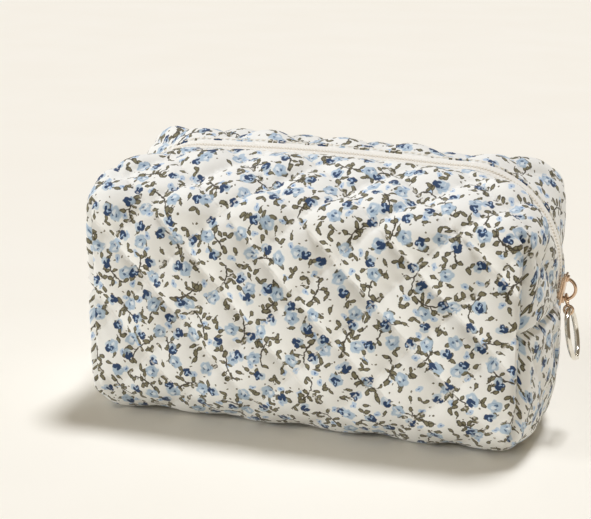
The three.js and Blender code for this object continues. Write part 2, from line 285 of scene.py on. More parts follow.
def outline_row(depth, inset, upper, mid_count, end_count):
    """A full row of points at one depth, from the left end seam to the right end seam."""
    points, corner = outline(depth, inset, upper)
    first = spaced(points, 0, corner, mid_count)
    second = spaced(points, corner, len(points) - 1, end_count)[1:]
    half = np.concatenate([first, second])
    row = np.concatenate([half[:0:-1] * (-1, 1), half])
    return np.stack([row[:, 0], np.full(len(row), -depth), row[:, 1]], axis=1)


# %% [markdown]
# Rows of points make patches. The wall is stretched between the last row of the top strip, the last row of
# the base strip and the two corner seams, then swelled a little, because the bag is stuffed. Each grid keeps
# its flat layout beside it, measured along its own rows and columns.

# %% Patches of cloth
ROLL_STOP = math.asin((half_depth - CORNER_SEAM_R * (1 - math.sqrt(0.5)) - flat_half) / LONG_EDGE_R)
MIDDLE_RUN, END_RUN, ROLL_RUN = 100 * MM, 48 * MM, 18 * MM


def strip_depths(start, flat_count, roll_count):
    flat = np.linspace(start, flat_half, flat_count + 1)
    roll_angles = np.linspace(0, ROLL_STOP, roll_count + 1)[1:]
    return np.concatenate([flat, flat_half + LONG_EDGE_R * np.sin(roll_angles)])


def strip(upper, inset, start, pitch):
    """A strip of rows from the zip or the base's middle out to the corner seams."""
    mid_count = round(MIDDLE_RUN / pitch)
    end_count = round(END_RUN / pitch)
    depths = strip_depths(start, round((flat_half - start) / pitch), round(ROLL_RUN / pitch))
    return np.array([outline_row(d, inset, upper, mid_count, end_count) for d in depths]), end_count


def wall_patch(top_strip, base_strip, end_count, bulge):
    """The wall between the two strips' last rows: rows run down, columns run from left to right."""
    top, base = top_strip[-1], base_strip[-1]
    left = np.concatenate([top[end_count::-1], base[1:end_count + 1]])
    right = np.concatenate([top[len(top) - 1 - end_count:], base[::-1][1:end_count + 1]])
    head = top[end_count:len(top) - end_count]
    foot = base[end_count:len(base) - end_count]
    rows, columns = len(left), len(head)
    u = np.linspace(0, 1, columns)[None, :, None]
    v = np.linspace(0, 1, rows)[:, None, None]
    patch = (1 - v) * head[None] + v * foot[None] + (1 - u) * left[:, None] + u * right[:, None]
    patch -= (1 - v) * ((1 - u) * head[0] + u * head[-1]) + v * ((1 - u) * foot[0] + u * foot[-1])
    from_side = half_length * (1 - np.abs(2 * u - 1))
    from_long = np.minimum(v, 1 - v) * (head[0, 2] - foot[0, 2])
    rest = half_depth - flat_half - LONG_EDGE_R * math.sin(ROLL_STOP)
    side_start = CORNER_SEAM_R * math.sqrt(0.5)
    long_start = LONG_EDGE_R * math.cos(ROLL_STOP)
    side_round = np.sqrt(CORNER_SEAM_R ** 2 - np.clip(side_start - from_side, 0, None) ** 2) - side_start
    long_round = np.sqrt(LONG_EDGE_R ** 2 - np.clip(long_start - from_long, 0, None) ** 2)
    long_round -= LONG_EDGE_R * math.sin(ROLL_STOP)
    rounding = side_round * long_round / rest
    swell = bulge * (1 - (2 * u - 1) ** 2) * (1 - (2 * v - 1) ** 2)
    patch[:, :, 1] -= (rounding + swell)[:, :, 0]
    return patch


def lay_out(grid, middle_row_start):
    """Flat cloth millimetres of a patch: across from its middle column, along from its first row."""
    middle = grid.shape[1] // 2
    columns = np.cumsum(np.linalg.norm(np.diff(grid, axis=1), axis=2), axis=1)
    across = np.concatenate([np.zeros((len(grid), 1)), columns], axis=1)
    across -= across[:, middle:middle + 1]
    rows = np.cumsum(np.linalg.norm(np.diff(grid, axis=0), axis=2), axis=0)
    along = np.concatenate([np.zeros((1, grid.shape[1])), rows], axis=0)
    return np.stack([across, middle_row_start + along], axis=2)


def half_cloth(inset, start, pitch, bulge):
    """The front half's three patches, with their flat layouts, all as grids of points."""
    top, end_count = strip(True, inset, start, pitch)
    base, _ = strip(False, inset, 0.0, pitch)
    wall = wall_patch(top, base, end_count, bulge)
    for grid in (top, base, wall):
        grid[:, :, 1] *= (half_depth - inset) / half_depth
    wall_flat = lay_out(wall, 0.0)
    top_flat = lay_out(top[::-1], 0.0)[::-1] * (1, -1)
    base_flat = lay_out(base[::-1], 0.0)[::-1]
    foot = wall_flat[-1, :, 1]
    base_flat[:, :, 1] += np.pad(foot, end_count, mode="edge")
    return {"top": (top, top_flat), "wall": (wall, wall_flat), "base": (base, base_flat)}, end_count


CLOTH_PITCH = 1.65 * MM
CLOTH_BULGE = 3 * MM
cloth, cloth_end_count = half_cloth(0.0, slot_half, CLOTH_PITCH, CLOTH_BULGE)
print("cloth grids", {name: grid.shape[:2] for name, (grid, _) in cloth.items()})

# %% [markdown]
# A stuffed bag never stands as true as its pattern. This one has its rear edge pushed up, most of all on the
# left, its rear right corner drawn in, and its feet pinched. One smooth shift of points does that for cloth,
# lining and zip alike, so that they stay together. It fades to nothing where the slider runs. The plain
# numbers are distances in metres, over which each shift comes in.

# %% Settle the bag
REAR_LIFT = 5.4 * MM
REAR_LIFT_SLOPE = 0.022
ZIP_LIFT = 1.8 * MM
REAR_DRAW = 6 * MM
SHOULDER_FILL = 3 * MM
LEFT_DRAW = 3 * MM
FOOT_DRAW = 4 * MM
FRONT_FOOT_DRAW = 5.5 * MM


def settle(points):
    """Points of the bag, moved as its stuffing moves them. Takes and returns an array of rows x, y, z."""
    x, y, z = points[:, 0], points[:, 1], points[:, 2]
    moved = points.copy()
    height = smooth_step((z - 0.02) / (top_z - 0.02))
    low = smooth_step((0.03 - z) / 0.03)
    moved[:, 2] += (REAR_LIFT - REAR_LIFT_SLOPE * x) * smooth_step(y / 0.042) * height
    along_zip = np.exp(-((x + 0.012) / 0.052) ** 2) * smooth_step((0.062 - x) / 0.03)
    moved[:, 2] += ZIP_LIFT * along_zip * smooth_step((y + 0.052) / 0.052) * height
    moved[:, 0] -= REAR_DRAW * smooth_step((x - 0.03) / 0.07) * smooth_step(y / half_depth)
    shoulder = smooth_step((x - 0.06) / 0.03) * smooth_step((z - 0.08) / 0.025)
    shoulder = shoulder * smooth_step((y - 0.015) / 0.025)
    moved[:, 0] += SHOULDER_FILL * shoulder
    moved[:, 2] += SHOULDER_FILL * shoulder
    moved[:, 0] += LEFT_DRAW * smooth_step((-x - 0.05) / 0.06) * (1 - 0.5 * height)
    moved[:, 0] -= FOOT_DRAW * smooth_step((x - 0.04) / 0.07) * low
    moved[:, 1] += FRONT_FOOT_DRAW * smooth_step((-y - 0.02) / 0.03) * low
    return moved


# %% [markdown]
# Quilting is two sets of parallel stitch lines that cross into diamonds. Between the lines the wadding
# lifts the cloth; on them it is pulled flat, and the thread gathers it into short puckers. Wrinkles as long
# as a finger run over all of it. The three are added up as one height over the flat cloth. The lines that
# rise to the right were sewn last, and pull a little deeper.

# %% Height of the quilted cloth
QUILT_SPACING = 25.0
PUFF = 4.2
SINK = 2.0
LINE_DRIFT = 1.6
RISING_DEPTH = 0.56
FALLING_DEPTH = 0.4
PUCKER_WAVE = 6.5
PUCKER = 0.34
PUCKER_REACH = 3.0
SEAM_GROOVE = 3.3
SEAM_PINCH = 1.9
SEAM_FADE = 6.0


def value_noise(points, scale, seed):
    """Smooth noise from -1 to 1 over rows of points, one bump for each length of scale."""
    offset = Vector((seed * 17.3, seed * 9.1, seed * 5.7))
    return np.array([mathutils.noise.noise(Vector(p) / scale + offset) for p in points])


def line_distance(run):
    """Distance in mm to the nearest stitch line of one set."""
    return np.abs((run / QUILT_SPACING + 0.5) % 1 - 0.5) * QUILT_SPACING


def quilt_height(points, flat_mm, seam_mm):
    """How far the cloth stands out, in metres, for points with flat places and distances to a seam in mm."""
    drift = LINE_DRIFT * value_noise(points, 0.06, 3)
    rising = (flat_mm[:, 0] + flat_mm[:, 1] + drift) / math.sqrt(2)
    falling = (flat_mm[:, 0] - flat_mm[:, 1] + drift) / math.sqrt(2)
    to_rising, to_falling = line_distance(rising), line_distance(falling)
    pillow = (np.sin(np.pi * to_rising / QUILT_SPACING) ** RISING_DEPTH
              * np.sin(np.pi * to_falling / QUILT_SPACING) ** FALLING_DEPTH)
    uneven = 1 + 0.32 * value_noise(points, 0.024, 5)
    puff = PUFF * pillow * uneven
    pucker = 0
    for to_line, along, seed in ((to_rising, falling, 7), (to_falling, rising, 8)):
        wave = 2 * np.pi * along / PUCKER_WAVE + 3 * value_noise(points, 0.02, seed)
        pucker = pucker + PUCKER * np.exp(-to_line / PUCKER_REACH) * np.sin(wave)
    wrinkle = 0.9 * value_noise(points, 0.032, 11) + 0.45 * value_noise(points, 0.014, 12)
    free = 1 - np.exp(-(seam_mm / SEAM_FADE) ** 2)
    return ((puff - SINK + wrinkle) * free + pucker * (1 - np.exp(-(seam_mm / 2) ** 2))) * MM


# %% [markdown]
# Each grid of cloth needs its outward directions. The three patches are welded where the cloth only turns
# over an edge, and left as separate edges where two cloths are sewn, so the seams can sink into a groove.

# %% Build one cover
def grid_normals(grid):
    """Outward directions of a grid whose columns run left to right and rows run outward, for the front."""
    along = np.gradient(grid, axis=1)
    down = np.gradient(grid, axis=0)
    normals = np.cross(down, along)
    return normals / np.maximum(np.linalg.norm(normals, axis=2, keepdims=True), 1e-12)


def grid_faces(indices):
    a, b = indices[:-1, :-1], indices[:-1, 1:]
    c, d = indices[1:, 1:], indices[1:, :-1]
    return np.stack([a, d, c, b], axis=-1).reshape(-1, 4)


def join_patches(patches, end_count):
    """Welds the three patches. Returns points, flat places, normals, faces and the row of each patch."""
    offset = 0
    indices = {}
    for name, (grid, _) in patches.items():
        indices[name] = np.arange(grid.shape[0] * grid.shape[1]).reshape(grid.shape[:2]) + offset
        offset += grid.shape[0] * grid.shape[1]
    points = np.concatenate([grid.reshape(-1, 3) for grid, _ in patches.values()])
    flats = np.concatenate([flat.reshape(-1, 2) for _, flat in patches.values()])
    normals = {name: grid_normals(grid) for name, (grid, _) in patches.items()}
    normals["base"] = -normals["base"]
    head = slice(end_count, indices["top"].shape[1] - end_count)
    for strip_name, wall_row in (("top", 0), ("base", -1)):
        both = normals[strip_name][-1, head] + normals["wall"][wall_row]
        both /= np.linalg.norm(both, axis=1, keepdims=True)
        normals[strip_name][-1, head] = both
        normals["wall"][wall_row] = both
        indices[strip_name][-1, head] = indices["wall"][wall_row]
    normals = np.concatenate([n.reshape(-1, 3) for n in normals.values()])
    base_faces = grid_faces(indices["base"])[:, ::-1]
    faces = np.concatenate([grid_faces(indices["top"]), grid_faces(indices["wall"]), base_faces])
    return points, flats, normals, faces, indices


def weld_unused(points, arrays, faces):
    """Drops points that no face uses."""
    used = np.zeros(len(points), bool)
    used[faces.ravel()] = True
    renumber = np.cumsum(used) - 1
    return points[used], [a[used] for a in arrays], renumber[faces]


def mesh_from(name, points, faces, flats=None):
    """A mesh object from arrays, with flat places in metres as its UV map."""
    mesh = bpy.data.meshes.new(name)
    mesh.from_pydata(points.tolist(), [], faces.tolist())
    if flats is not None:
        layer = mesh.uv_layers.new(name="flat_cloth")
        corners = np.array([loop.vertex_index for loop in mesh.loops])
        layer.data.foreach_set("uv", flats[corners].astype(np.float32).ravel())
    mesh.update()
    made = bpy.data.objects.new(name, mesh)
    bpy.context.scene.collection.objects.link(made)
    return made


# %% [markdown]
# Every point of cloth needs to know how far it is from a seam, measured in the flat cloth. The grooves are
# pulled the same way on both cloths that meet at a seam, so the two edges stay together.

# %% Distances to the seams
FAR_MM = 99.0


def patch_distances(patches, end_count):
    """Distances in mm to the corner seams, the end seams and the zip's edge, in the order of the patches."""
    corner, end, edge = [], [], []
    for name, (grid, flat) in patches.items():
        u, v = flat[:, :, 0] / MM, flat[:, :, 1] / MM
        from_left, from_right = u - u[:, :1], u[:, -1:] - u
        nearest_end = np.minimum(from_left, from_right)
        if name == "wall":
            along = np.abs(v - v[end_count:end_count + 1])
            corner.append(nearest_end)
            end.append(np.hypot(nearest_end, along))
            edge.append(np.full(u.shape, FAR_MM))
        else:
            seam_v = v[-1:]
            head_u = np.abs(u[-1, end_count])
            past_head = np.clip(head_u - np.abs(u), 0, None)
            corner.append(np.hypot(past_head, v - seam_v))
            end.append(nearest_end)
            edge.append(np.abs(v - v[:1]) if name == "top" else np.full(u.shape, FAR_MM))
    return [np.concatenate([part.ravel() for part in parts]) for parts in (corner, end, edge)]


# %% [markdown]
# The cover's points can now be moved: out by the quilting, in at the seams, and down to rest on the table.

# %% Quilt and seam one half
EDGE_FOLD_R = 2.4
END_FLATNESS = 0.4
FOOT_FLATNESS = 0.5
FOOT_LIFT = 1.7 * MM


def shape_cover(points, flats, normals, corner_mm, end_mm, edge_mm):
    seam_mm = np.minimum(np.minimum(corner_mm, end_mm), edge_mm + 1.0)
    height = quilt_height(points, flats / MM, seam_mm)
    height *= 1 - END_FLATNESS * np.abs(normals[:, 0]) ** 2
    height *= 1 - FOOT_FLATNESS * (1 - smooth_step((points[:, 2] - 0.01) / 0.05))
    side = np.sign(points[:, 0])
    depth = np.sign(points[:, 1])
    diagonal = np.stack([-side, -depth, 0 * side], axis=1) / math.sqrt(2)
    level = np.stack([-side, 0 * side, 0 * side], axis=1)
    fold = np.clip(EDGE_FOLD_R - edge_mm, 0, EDGE_FOLD_R)
    fold_drop = (EDGE_FOLD_R - np.sqrt(EDGE_FOLD_R ** 2 - fold ** 2)) * MM
    moved = points + normals * (height - fold_drop)[:, None]
    for inward, seam in ((diagonal, corner_mm), (level, end_mm)):
        moved += inward * (SEAM_GROOVE * MM * np.exp(-(seam / SEAM_PINCH) ** 2))[:, None]
    moved = settle(moved)
    moved[:, 2] += FOOT_LIFT * (1 - smooth_step(moved[:, 2] / 0.02))
    moved[:, 2] = np.maximum(moved[:, 2], 0)
    return moved


# %% [markdown]
# The cloth is lawn cotton, printed in small sprigs: pale blue roses, navy blossoms, olive leaves and a few
# dark stems on cream. A printed picture would need an image, so the print is drawn from shapes instead. A
# Voronoi texture drops one spot in each cell of a loose grid; around each spot, turned by a random angle,
# small ellipses make petals and leaves. The UV map holds the flat cloth, so a motif keeps its size in mm.

# %% Drawing tools for the print
def scaled(tree, place, factor):
    return add_node(tree, "ShaderNodeVectorMath", {0: place, 3: factor}, operation="SCALE").outputs[0]


def cloth_millimetres(tree):
    """The flat cloth's place in millimetres, from the piece's own UV map."""
    return scaled(tree, add_node(tree, "ShaderNodeUVMap", uv_map="flat_cloth").outputs[0], 1 / MM)


def scatter(tree, place, cell_mm, shift, tilt, randomness):
    """Spots over the cloth, one in each cell. Returns each spot's coordinates in mm and two random values."""
    laid = {"Vector": place, "Location": (shift, shift * 1.7, 0), "Rotation": (0, 0, math.radians(tilt))}
    turned = add_node(tree, "ShaderNodeMapping", laid)
    cells = add_node(tree, "ShaderNodeTexVoronoi",
                     {"Vector": turned.outputs[0], "Scale": 1 / cell_mm, "Randomness": randomness},
                     voronoi_dimensions="2D")
    ends = {0: turned.outputs[0], 1: cells.outputs["Position"]}
    local = add_node(tree, "ShaderNodeVectorMath", ends, operation="SUBTRACT")
    chance = add_node(tree, "ShaderNodeSeparateColor", {0: cells.outputs["Color"]})
    angle = math_node(tree, "MULTIPLY", chance.outputs[0], 2 * math.pi)
    spun = add_node(tree, "ShaderNodeVectorRotate", {"Vector": local.outputs[0], "Angle": angle},
                    rotation_type="Z_AXIS")
    return spun.outputs[0], chance.outputs[1], chance.outputs[2]


def ellipse(tree, place, x, y, half_long, half_wide, degrees=0):
    """0 at an ellipse's middle, 1 on its edge and more outside."""
    own = add_node(tree, "ShaderNodeMapping",
                   {"Vector": place, "Location": (x, y, 0), "Rotation": (0, 0, math.radians(degrees)),
                    "Scale": (half_long, half_wide, 1)}, vector_type="TEXTURE")
    return add_node(tree, "ShaderNodeVectorMath", {0: own.outputs[0]}, operation="LENGTH").outputs["Value"]


def ellipses(tree, place, *rows):
    """Several ellipses as one shape: the smallest value wins."""
    joined = ellipse(tree, place, *rows[0])
    for row in rows[1:]:
        joined = math_node(tree, "MINIMUM", joined, ellipse(tree, place, *row))
    return joined


def ramp(tree, value, start, stop, **settings):
    """0 where the value is at its start and 1 where it is at its stop."""
    return add_node(tree, "ShaderNodeMapRange", {0: value, 1: start, 2: stop}, **settings).outputs[0]


def inside(tree, shape, softness=0.12, edge=1.0):
    """1 inside a shape and 0 outside, with a soft edge like wet ink."""
    return ramp(tree, shape, edge + softness, edge - softness, interpolation_type="SMOOTHSTEP")


def kept(tree, mask, chance, share):
    """Drops a share of the motifs, by each one's random value."""
    return product(tree, mask, math_node(tree, "LESS_THAN", chance, share))


def ink(tree, colour, mask, hex_colour):
    """Prints a colour over what is there."""
    mixed = {0: mask, 6: colour, 7: srgb(hex_colour)}
    return add_node(tree, "ShaderNodeMix", mixed, data_type="RGBA").outputs[2]


# %% [markdown]
# Each motif is a few ellipses in its own millimetres, each one a row of place, half length, half width and
# turn. Leaves have a darker rim, as the print has where the outline screen laps the fill. The stem is a
# stretch of a circle's line.

# %% Motifs
OLIVE, OLIVE_DARK = "#7f795e", "#403a2b"
PALE_BLUE, MID_BLUE, NAVY, SKY = "#b4c9dc", "#7f9dc0", "#213e66", "#e2eaf1"


def print_leaves(tree, colour, leaf, chance, share):
    colour = ink(tree, colour, kept(tree, inside(tree, leaf), chance, share), OLIVE_DARK)
    return ink(tree, colour, kept(tree, inside(tree, leaf, 0.2, 0.66), chance, share), OLIVE)


def leaf_pairs(tree, colour, place, cell_mm, shift, tilt, share):
    spot, chance, _ = scatter(tree, place, cell_mm, shift, tilt, 0.62)
    leaves = ellipses(tree, spot, (0, 1.5, 1.75, 0.95, 74), (1.6, -0.6, 1.45, 0.8, -24),
                      (0.3, 0.1, 0.9, 0.28, 60))
    return print_leaves(tree, colour, leaves, chance, share)


def single_leaves(tree, colour, place, cell_mm, shift, tilt, share):
    spot, chance, _ = scatter(tree, place, cell_mm, shift, tilt, 0.7)
    leaf = ellipses(tree, spot, (0, 0, 1.55, 0.9), (1.9, 0.2, 0.7, 0.26, 12))
    return print_leaves(tree, colour, leaf, chance, share)


def stems(tree, colour, place, cell_mm, shift, tilt, share):
    spot, chance, _ = scatter(tree, place, cell_mm, shift, tilt, 0.45)
    radius = 11.0
    arc = ellipse(tree, spot, 0, -radius, radius, radius)
    from_line = math_node(tree, "ABSOLUTE", math_node(tree, "SUBTRACT", arc, 1.0))
    line = math_node(tree, "DIVIDE", from_line, 0.34 / radius)
    reach = ellipse(tree, spot, 0, 0, 6.2, 4)
    twig = ellipse(tree, spot, 1.2, 1.1, 1.5, 0.24, 62)
    stretch = math_node(tree, "MAXIMUM", line, math_node(tree, "POWER", reach, 6.0))
    bough = math_node(tree, "MINIMUM", stretch, twig)
    colour = ink(tree, colour, kept(tree, inside(tree, bough, 0.35), chance, share), "#4a4335")
    leaves = ellipses(tree, spot, (-6.6, -1.2, 2.1, 1.1, 40), (-3.4, 1.5, 1.7, 0.9, 118),
                      (2.2, 2.8, 1.6, 0.95, 70), (5.6, -3.0, 1.5, 0.85, -80), (-1.2, -1.7, 1.35, 0.75, -70))
    return print_leaves(tree, colour, leaves, chance, share)


def blossoms(tree, colour, place, cell_mm, shift, tilt, share):
    """Navy blossoms: two or three lobes with a pale notch, over a paler back petal."""
    spot, chance, other = scatter(tree, place, cell_mm, shift, tilt, 0.6)
    back = kept(tree, inside(tree, ellipse(tree, spot, 0.9, -1.3, 1.9, 1.5, 20), 0.25), chance, share)
    colour = ink(tree, colour, product(tree, back, 0.8), PALE_BLUE)
    lobes = ellipses(tree, spot, (-0.9, 0.5, 1.55, 1.15, 70), (1.0, 1.0, 1.3, 1.05),
                     (0.1, -0.9, 1.2, 0.8, -30))
    colour = ink(tree, colour, kept(tree, inside(tree, lobes, 0.16), chance, share), NAVY)
    notch = ellipses(tree, spot, (0.3, 0.3, 0.75, 0.4, 40), (1.2, 1.3, 0.4, 0.3))
    notch_mask = kept(tree, inside(tree, notch, 0.3), other, 0.7)
    return ink(tree, colour, kept(tree, notch_mask, chance, share), "#a9c3e2")


def roses(tree, colour, place, cell_mm, shift, tilt, share, size):
    """Pale roses: a lobed round of blue wash, with petal strokes that wind in to a dark eye."""
    spot, chance, _ = scatter(tree, place, cell_mm, shift, tilt, 0.5)
    apart = add_node(tree, "ShaderNodeSeparateXYZ", {0: spot})
    heading = math_node(tree, "ARCTAN2", apart.outputs[1], apart.outputs[0])
    lobes = product(tree, math_node(tree, "SINE", product(tree, heading, 5.0)), 0.09)
    disc = ellipse(tree, spot, 0, 0, size, size * 0.86)
    bloom = math_node(tree, "ADD", disc, lobes)
    mask = kept(tree, inside(tree, bloom, 0.13), chance, share)
    colour = ink(tree, colour, product(tree, mask, 0.92), PALE_BLUE)
    wind = math_node(tree, "ADD", product(tree, heading, 2.0), product(tree, disc, 7.5))
    stroke = ramp(tree, math_node(tree, "SINE", wind), 0.35, 0.9)
    colour = ink(tree, colour, product(tree, stroke, inside(tree, disc, 0.2, 0.8), 0.62, mask), MID_BLUE)
    own = scaled(tree, spot, 1 / size)
    light = inside(tree, ellipse(tree, own, -0.26, 0.2, 0.4, 0.26, 30), 0.3)
    colour = ink(tree, colour, product(tree, light, mask), SKY)
    eye = inside(tree, ellipses(tree, own, (0.2, -0.1, 0.26, 0.13, 35), (0.02, 0.42, 0.2, 0.1, -20)), 0.25)
    return ink(tree, colour, product(tree, eye, mask, 0.85), "#345379")


def buds(tree, colour, place, cell_mm, shift, tilt, share):
    spot, chance, _ = scatter(tree, place, cell_mm, shift, tilt, 0.75)
    bud = ellipses(tree, spot, (0, 0, 1.5, 1.1), (1.1, 0.9, 0.9, 0.7))
    colour = ink(tree, colour, kept(tree, inside(tree, bud, 0.25), chance, share), "#c3d5e9")
    heart = inside(tree, ellipse(tree, spot, 0.5, 0.3, 0.6, 0.35, 30), 0.4)
    return ink(tree, colour, kept(tree, heart, chance, share), "#5b7fb2")


def dots(tree, colour, place, cell_mm, shift, share, hex_colour):
    spot, chance, _ = scatter(tree, place, cell_mm, shift, 17, 0.9)
    dot = inside(tree, ellipse(tree, spot, 0, 0, 0.5, 0.36), 0.35)
    return ink(tree, colour, kept(tree, dot, chance, share), hex_colour)


# %% [markdown]
# The layers are printed in order, leaves first and flowers over them. Under the print the cotton is cream,
# and its weave shows as a very fine bump. Lawn has about 30 threads to a centimetre, too fine to show, so
# the threads are drawn at 0.7 mm. Stitches are short dashes along the quilting lines, on the valleys.

# %% Quilted lawn cotton
THREAD_MM = 0.7
STITCH_MM = 3.0


def weave_bump(tree, place, thread_mm, strength, **more):
    """Over-and-under threads as a bump, from two crossed waves."""
    apart = add_node(tree, "ShaderNodeSeparateXYZ", {0: place})
    pull = 2 * math.pi / thread_mm
    waves = [math_node(tree, "SINE", product(tree, apart.outputs[k], pull)) for k in (0, 1)]
    return bump(tree, product(tree, *waves), strength, 0.1 * MM, **more)


def stitch_line(tree, rising, falling):
    """A dashed thread where one set of quilting lines runs: 1 on the thread."""
    spacings = math_node(tree, "DIVIDE", rising, QUILT_SPACING)
    share = math_node(tree, "FRACT", math_node(tree, "ADD", spacings, 0.5))
    off_line = math_node(tree, "ABSOLUTE", math_node(tree, "SUBTRACT", share, 0.5))
    thread = ramp(tree, product(tree, off_line, QUILT_SPACING), 0.55, 0.2)
    stitch = math_node(tree, "FRACT", math_node(tree, "DIVIDE", falling, STITCH_MM))
    return kept(tree, thread, stitch, 0.7)


def quilted_cotton():
    material, tree, shader = new_material("quilted_lawn_cotton", 0.82, Sheen_Weight=0.15, Sheen_Roughness=0.5)
    place = cloth_millimetres(tree)
    colour, _ = mottled(tree, place, 0.05, "#f1f1ed", "#f8f8f5", 3.0)
    wobble = add_node(tree, "ShaderNodeTexNoise", {"Vector": place, "Scale": 0.55, "Detail": 1.0})
    centred = add_node(tree, "ShaderNodeVectorMath", {0: wobble.outputs["Color"], 1: (0.5, 0.5, 0.5)},
                       operation="SUBTRACT")
    shifted = {0: centred.outputs[0], 1: (1.5, 1.5, 0), 2: place}
    drawn = add_node(tree, "ShaderNodeVectorMath", shifted, operation="MULTIPLY_ADD").outputs[0]
    colour = dots(tree, colour, drawn, 4.6, 0.0, 0.5, "#6b6450")
    colour = buds(tree, colour, drawn, 10.5, 31.0, 8, 0.8)
    colour = single_leaves(tree, colour, drawn, 7.2, 57.0, 33, 0.8)
    colour = leaf_pairs(tree, colour, drawn, 9.8, 83.0, 64, 0.92)
    colour = stems(tree, colour, drawn, 19.5, 119.0, 21, 0.95)
    colour = roses(tree, colour, drawn, 14.8, 149.0, 12, 0.8, 3.2)
    colour = blossoms(tree, colour, drawn, 12.2, 167.0, 49, 0.78)
    apart = add_node(tree, "ShaderNodeSeparateXYZ", {0: place})
    rising, falling = [product(tree, math_node(tree, way, *apart.outputs[:2]), math.sqrt(0.5))
                       for way in ("ADD", "SUBTRACT")]
    seams = stitch_line(tree, rising, falling), stitch_line(tree, falling, rising)
    thread = math_node(tree, "MAXIMUM", *seams)
    colour = ink(tree, colour, product(tree, thread, 0.55), "#fbf8f2")
    tree.links.new(colour, shader.inputs["Base Color"])
    stitched = bump(tree, thread, 0.35, 0.25 * MM)
    tree.links.new(weave_bump(tree, place, THREAD_MM, 0.25, Normal=stitched), shader.inputs["Normal"])
    return material


cotton = quilted_cotton()
print("print nodes", len(cotton.node_tree.nodes))

# %% [markdown]
# The front cover is built first, and the rear one is its mirror image with its own stretch of the print.
# Solidify then gives the cloth its thickness, inward, with a rim where the zip leaves it open.

# %% Front and rear covers
COVER_THICK = 2.2 * MM
base_middle_v = cloth["base"][1][0, cloth["base"][1].shape[1] // 2, 1]


def flap_blend(piece):
    """Bakes a finished piece's placement into its points."""
    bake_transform(piece)


def take(piece):
    """Makes a piece the active one and the only one selected."""
    bpy.ops.object.select_all(action="DESELECT")
    bpy.context.view_layer.objects.active = piece
    piece.select_set(True)


def apply_modifiers(piece):
    take(piece)
    for modifier in list(piece.modifiers):
        bpy.ops.object.modifier_apply(modifier=modifier.name)


def smooth_shade(piece, degrees=50):
    take(piece)
    bpy.ops.object.shade_smooth_by_angle(angle=math.radians(degrees))


def thicken(piece, thickness):
    """Gives a sheet its thickness, inward."""
    wall = piece.modifiers.new("thickness", "SOLIDIFY")
    wall.thickness = thickness
    wall.offset = -1
    apply_modifiers(piece)
    smooth_shade(piece)


def mirror_rear(points, flats, normals, faces):
    flip = np.array([1, -1, 1])
    rear_flats = flats.copy()
    rear_flats[:, 1] = 2 * base_middle_v - flats[:, 1]
    return points * flip, rear_flats, normals * flip, faces[:, ::-1]


def make_cover(name, rear):
    points, flats, normals, faces, _ = join_patches(cloth, cloth_end_count)
    corner_mm, end_mm, edge_mm = patch_distances(cloth, cloth_end_count)
    if rear:
        points, flats, normals, faces = mirror_rear(points, flats, normals, faces)
    points = shape_cover(points, flats, normals, corner_mm, end_mm, edge_mm)
    points, (flats,), faces = weld_unused(points, [flats], faces)
    cover = mesh_from(name, points, faces, flats)
    thicken(cover, COVER_THICK)
    print(name, len(cover.data.vertices), "points")
    return cover


ENDS = ("left", "right")
front_cover = make_cover("front_cover", False)
rear_cover = make_cover("rear_cover", True)
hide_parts("body_wrap_panel", "front_top_flap",
            *[f"{end}_end_lower_panel" for end in ENDS], *[f"{end}_end_upper_front_panel" for end in ENDS])
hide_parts("rear_top_flap", *[f"{end}_end_upper_rear_panel" for end in ENDS])
for cover, flap in ((front_cover, "front_flap"), (rear_cover, "rear_flap")):
    flap_blend(cover)
    cover.data.materials.append(cotton)

# %% [markdown]
# The zip runs on one path: level over the top, then round a quarter circle and a little further down each
# end. Everything that lies on it is placed by the same function, which gives a place, the way along and the
# way out for any distance from the middle of the top.

# %% The zip's path
ZIP_END_ANGLE = math.asin((turn.z - end_seam_z - 0.6 * MM) / zip_turn_r)
TAPE_SINK = 1.2 * MM
TAPE_THICK = 0.6 * MM
TAPE_R = zip_turn_r - TAPE_SINK - TAPE_THICK
COIL_R = TAPE_R + TAPE_THICK
ARC_LENGTH = COIL_R * (math.pi / 2 + ZIP_END_ANGLE)


def on_path(run, radius):
    """Place, direction along and direction outward, at a run from the middle of the top (right is +)."""
    sign = 1 if run >= 0 else -1
    distance = abs(run)
    if distance <= turn.x:
        return Vector((sign * distance, 0, turn.z + radius)), Vector((1, 0, 0)), Vector((0, 0, 1))
    angle = math.pi / 2 - (distance - turn.x) / COIL_R
    out = Vector((sign * math.cos(angle), 0, math.sin(angle)))
    along = Vector((math.sin(angle), 0, -sign * math.cos(angle)))
    return Vector((sign * turn.x, 0, turn.z)) + out * radius, along, out


PATH_HALF = turn.x + ARC_LENGTH
print("zip length", round(2 * PATH_HALF / MM), "mm")

# %% [markdown]
# The tape is a flat woven strip, sewn under the cloth's folded edge. It is a plain strip of faces bent along
# the path, given its thickness by Solidify, with its flat place kept for the weave, which the bump shows.
# Next to the teeth the tape's colour is darkened in a narrow band: painted shade under the coil's edge.

# %% Zip tapes
SIDES = (("front", -1), ("rear", 1))
TEETH_GAP = 1.2 * MM
TAPE_TUCK = 0.7 * MM
TAPE_PITCH = 2 * MM


def zip_tape_cotton():
    material, tree, shader = new_material("woven_polyester_tape", 0.7, Sheen_Weight=0.1)
    place = cloth_millimetres(tree)
    colour, _ = mottled(tree, place, 0.8, "#f4f1e9", "#fbf9f4")
    apart = add_node(tree, "ShaderNodeSeparateXYZ", {0: place})
    # Painted shade: a narrow darker band of the tape's colour next to the teeth, where the coil overhangs the
    # tape.
    edge = ramp(tree, apart.outputs[1], 1.2, 0.2)
    tree.links.new(ink(tree, colour, product(tree, edge, 0.5), "#e6dfd0"), shader.inputs["Base Color"])
    tree.links.new(weave_bump(tree, place, 0.9, 0.5), shader.inputs["Normal"])
    return material


